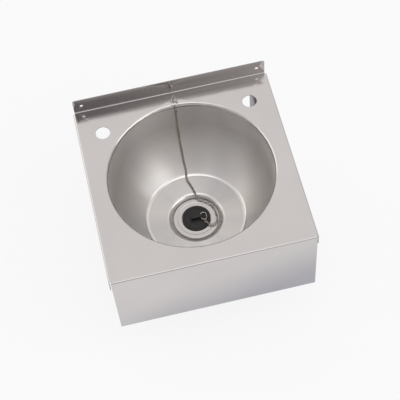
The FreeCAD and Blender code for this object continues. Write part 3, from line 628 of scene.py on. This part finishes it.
def make_ring():
    """Bend the ring through the plug's grip bar and lay it down on the plug's rim."""
    half, wire, clearance = 6.2, 1.6, 0.3
    drop = math.asin((RING_Z - PLUG_TOP - wire / 2 - clearance) / RING_REACH)
    corners = [(0, -half), (RING_REACH, -half), (RING_REACH, half), (0, half)]
    bm = bent_wire(corners, bend=3.2, wire=wire)
    place = Matrix.Translation((RING_X * MM, AXIS_Y * MM, RING_Z * MM)) @ Matrix.Rotation(drop, 4, "Y")
    bmesh.ops.transform(bm, matrix=place, verts=bm.verts)
    keep(bm, "plug_wire_ring", CHAIN_CHROME, "plug_ring", "chain_chrome", "plug_ring", crease=60, even=False)


make_ring()


# Chain stay ------------------------------------------------------------------------------------------------
def make_stay():
    """Turn the stay's bolt, bend its eye, and hang the wire triangle from it over the rim."""
    middle = (STAY_X, STAY_Y)
    shank, collar, shank_end = 2.4, 4.5, DECK - 12.0
    outline = [
        (0, shank_end),
        (shank - 0.4, shank_end),
        (shank, shank_end + 0.4),
        (shank, DECK),
        (collar, DECK),
        (collar, DECK + 1.2),
        (2.7, DECK + 3.0),
        (0, DECK + 3.0),
    ]
    bolt = soft_turned(outline, [(0.35, (5, 6))], SMALL_STEPS, middle)
    eye = bmesh.new()
    facing = Matrix.Translation((3.0 * MM, 0, 0)) @ Matrix.Rotation(math.pi / 2, 4, "X")
    bmesh.ops.create_circle(eye, segments=16, radius=1.0 * MM, cap_ends=False, matrix=facing)
    bmesh.ops.spin(eye, geom=list(eye.verts) + list(eye.edges), cent=(0, 0, 0), axis=(0, 0, 1),
                   angle=2 * math.pi, steps=36, use_merge=True)
    close_up(eye)
    upright = Matrix.Translation((STAY_X * MM, STAY_Y * MM, EYE_Z * MM)) @ Matrix.Rotation(math.pi / 2, 4, "Y")
    bmesh.ops.transform(eye, matrix=upright, verts=eye.verts)
    loop = bpy.data.meshes.new("loop")
    eye.to_mesh(loop)
    eye.free()
    bolt.from_mesh(loop)
    bpy.data.meshes.remove(loop)
    keep(bolt, "stay_bolt_and_eye", STAY_CHROME, "sink", "stay_chrome", "stay_eye", crease=40)

    deck_under = DECK - 1.2
    inside, outside, washer_under = 2.7, 6.0, deck_under - 0.8
    washer = [(inside, deck_under), (inside, washer_under), (outside, washer_under), (outside, deck_under)]
    keep(soft_turned(washer, [(0.2, (2, 3))], SMALL_STEPS, middle), "stay_flat_washer", STAY_CHROME, "sink",
         "stay_chrome", "stay_washer")

    nut = tidied("stay_nut")
    corners = [edge for edge in nut.edges if edge.is_manifold and 0.8 < edge.calc_face_angle() < 1.3]
    bmesh.ops.bevel(nut, geom=corners, offset=0.15 * MM, offset_type="OFFSET", affect="EDGES",
                    segments=2, profile=0.5, material=-1)
    keep(nut, "stay_hex_nut", STAY_CHROME, "sink", "stay_chrome", "stay_nut")

    foot, top, length = 5.3, 2.5, 12.3
    slope = math.atan2(4.62, 11.40)
    triangle = bent_wire([(-foot, -length), (foot, -length), (top, 0), (-top, 0)], bend=2.0, wire=1.4)
    hung_from = Vector((STAY_X, STAY_Y - 1.0, EYE_Z)) * MM
    place = Matrix.Translation(hung_from) @ Matrix.Rotation(slope, 4, "X")
    bmesh.ops.transform(triangle, matrix=place, verts=triangle.verts)
    keep(triangle, "stay_wire_triangle", STAY_CHROME, "sink", "stay_chrome", "stay_triangle", crease=60,
         even=False)


make_stay()


# Chain -----------------------------------------------------------------------------------------------------
def islands(bm):
    """Return the separate bodies of a bmesh as lists of points."""
    bm.verts.ensure_lookup_table()
    seen = set()
    groups = []
    for first in bm.verts:
        if first in seen:
            continue
        seen.add(first)
        group, waiting = [], [first]
        while waiting:
            vert = waiting.pop()
            group.append(vert)
            for edge in vert.link_edges:
                other = edge.other_vert(vert)
                if other not in seen:
                    seen.add(other)
                    waiting.append(other)
        groups.append(group)
    return groups


def make_chain():
    """Put a round-wire link in the place of every link of the CAD chain. The last ones, by the ring, make a
    piece of their own.
    """
    long, wide = 2.65, 1.6
    corners = [(-long, -wide), (long, -wide), (long, wide), (-long, wide)]
    bm = bent_wire(corners, bend=wide, wire=1.0, around=8, steps=3)
    link = bpy.data.meshes.new("link")
    bm.to_mesh(link)
    bm.free()
    laid = tidied("chain_links")
    groups = islands(laid)

    def lay(name, chosen):
        """Lay the links of one length of the chain."""
        chain = bmesh.new()
        for group in chosen:
            points = np.array([vert.co for vert in group], dtype=float)
            centre = points.mean(axis=0)
            _, axes = np.linalg.eigh(np.cov((points - centre).T))
            along, across = Vector(axes[:, 2]), Vector(axes[:, 1])
            facing = along.cross(across)
            place = Matrix((along, across, facing)).transposed().to_4x4()
            place.translation = Vector(centre)
            before = len(chain.verts)
            chain.from_mesh(link)
            chain.verts.ensure_lookup_table()
            bmesh.ops.transform(chain, matrix=place, verts=chain.verts[before:])
        return keep(chain, name, CHAIN_CHROME, None, "chain_chrome", "chain_links", crease=80, even=False)

    hung = lay("plug_chain", groups[:-LINKS_BY_RING])
    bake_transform(hung)
    led = lay("plug_chain_end", groups[-LINKS_BY_RING:])
    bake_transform(led)
    laid.free()
    bpy.data.meshes.remove(link)


make_chain()


# Camera, floor and lights ----------------------------------------------------------------------------------
def make_camera():
    """Set the camera at the picture's own place and angle."""
    lens = bpy.data.cameras.new("camera")
    lens.sensor_width = 36.0
    lens.lens = 106.1
    lens.clip_end = 50
    camera = bpy.data.objects.new("camera", lens)
    camera.location = (-0.1158, -1.0654, 1.4258)
    camera.rotation_euler = Euler([math.radians(turn) for turn in (31.157, 3.081, -12.807)], "XYZ")
    bpy.context.scene.collection.objects.link(camera)
    bpy.context.scene.camera = camera


def make_floor():
    """Lay a wide pale floor that shows white, keeps the sink's shadow and is clear from below. Gloss sees it
    glow, with a painted shadow of bluish grey close in front of the sink and under it.
    """
    bm = bmesh.new()
    bmesh.ops.create_grid(bm, x_segments=1, y_segments=1, size=6.0)
    bmesh.ops.translate(bm, verts=bm.verts, vec=(0, 0, FLOOR_Z * MM))
    mesh = bpy.data.meshes.new("floor")
    bm.to_mesh(mesh)
    bm.free()
    material = bpy.data.materials.new("pale_floor")
    material.use_nodes = True
    tree = material.node_tree
    tree.nodes.remove(tree.nodes["Principled BSDF"])
    path = tree.nodes.new("ShaderNodeLightPath")
    geometry = tree.nodes.new("ShaderNodeNewGeometry")

    def cover(under, kind, ray, share):
        """Mix a share of a second shader over the first for one kind of ray."""
        shader = tree.nodes.new(kind)
        shader.inputs["Color"].default_value = (1, 1, 1, 1)
        part = tree.nodes.new("ShaderNodeMath")
        part.operation = "MULTIPLY"
        part.inputs[1].default_value = share
        tree.links.new(ray, part.inputs[0])
        mix = tree.nodes.new("ShaderNodeMixShader")
        tree.links.new(part.outputs[0], mix.inputs[0])
        tree.links.new(under, mix.inputs[1])
        tree.links.new(shader.outputs[0], mix.inputs[2])
        return shader, mix.outputs[0]

    paint = tree.nodes.new("ShaderNodeBsdfDiffuse")
    paint.inputs["Color"].default_value = (0.9, 0.9, 0.89, 1)
    _, shown = cover(paint.outputs[0], "ShaderNodeEmission", path.outputs["Is Camera Ray"], 0.86)
    gloss_glow, shown = cover(shown, "ShaderNodeEmission", path.outputs["Is Glossy Ray"], 0.66)
    # painted shadow: gloss sees the floor go bluish grey close in front of the sink and under it
    nearness = dot_with(tree, geometry.outputs["Position"], (0.15, 1, 0))
    shade = ranged(tree, nearness, -0.375, -0.325)
    tree.links.new(ramped(tree, shade, (0.0, (1, 1, 1)), (1.0, (0.58, 0.6, 0.67))), gloss_glow.inputs["Color"])
    gloss_glow.inputs["Strength"].default_value = 1.12
    _, shown = cover(shown, "ShaderNodeBsdfTransparent", geometry.outputs["Backfacing"], 1.0)
    tree.links.new(shown, tree.nodes["Material Output"].inputs["Surface"])
    mesh.materials.append(material)
    floor = bpy.data.objects.new("floor", mesh)
    bpy.context.scene.collection.objects.link(floor)


def make_surroundings():
    """Light the room evenly. Gloss sees a pale room with a soft dark side round the camera."""
    world = bpy.data.worlds.new("room")
    bpy.context.scene.world = world
    world.use_nodes = True
    tree = world.node_tree
    nodes, links = tree.nodes, tree.links
    plain = nodes["Background"]
    plain.inputs["Color"].default_value = (0.93, 0.96, 1.0, 1)
    plain.inputs["Strength"].default_value = 0.55
    white = nodes.new("ShaderNodeBackground")
    white.inputs["Color"].default_value = (1, 1, 1, 1)
    room = nodes.new("ShaderNodeBackground")
    looking = nodes.new("ShaderNodeTexCoord").outputs["Generated"]
    to_camera = dot_with(tree, looking, Vector((-0.1, -0.6, 0.79)).normalized())
    colour = ramped(tree, to_camera, (0.968, (0.95, 0.94, 0.93)), (0.995, (0.275, 0.265, 0.27)))
    links.new(colour, room.inputs["Color"])
    to_back = dot_with(tree, looking, Vector((0.0, 0.55, 0.83)).normalized())
    links.new(ranged(tree, to_back, 0.45, 0.9, 0.74, 1.02), room.inputs["Strength"])

    path = nodes.new("ShaderNodeLightPath")
    first = nodes.new("ShaderNodeMixShader")
    links.new(path.outputs["Is Glossy Ray"], first.inputs[0])
    links.new(plain.outputs[0], first.inputs[1])
    links.new(room.outputs[0], first.inputs[2])
    shown = nodes.new("ShaderNodeMath")
    shown.operation = "MAXIMUM"
    links.new(path.outputs["Is Camera Ray"], shown.inputs[0])
    links.new(path.outputs["Is Transmission Ray"], shown.inputs[1])
    second = nodes.new("ShaderNodeMixShader")
    links.new(shown.outputs[0], second.inputs[0])
    links.new(first.outputs[0], second.inputs[1])
    links.new(white.outputs[0], second.inputs[2])
    links.new(second.outputs[0], nodes["World Output"].inputs["Surface"])


def soft_lamp(name, place, aim, size, power, colour=(1, 1, 1)):
    """Hang one soft square lamp and point it."""
    lamp = bpy.data.lights.new(name, "AREA")
    lamp.shape = "SQUARE"
    lamp.size = size
    lamp.energy = power
    lamp.color = colour
    item = bpy.data.objects.new(name, lamp)
    item.location = place
    item.rotation_euler = (Vector(aim) - Vector(place)).to_track_quat("-Z", "Y").to_euler()
    bpy.context.scene.collection.objects.link(item)


bpy.context.scene.view_settings.view_transform = "Standard"
make_camera()
make_floor()
make_surroundings()
middle = (0, AXIS_Y * MM, CREASE_Z * MM)
soft_lamp("lamp_right_front", (2.3, -1.5, 2.2), middle, 2.6, 26, (1.0, 0.97, 0.92))
soft_lamp("lamp_above", (0.1, -0.3, 2.5), middle, 1.6, 5)
soft_lamp("lamp_left_back", (-3.0, 1.6, 1.5), middle, 3.2, 24, (1.0, 0.96, 0.9))
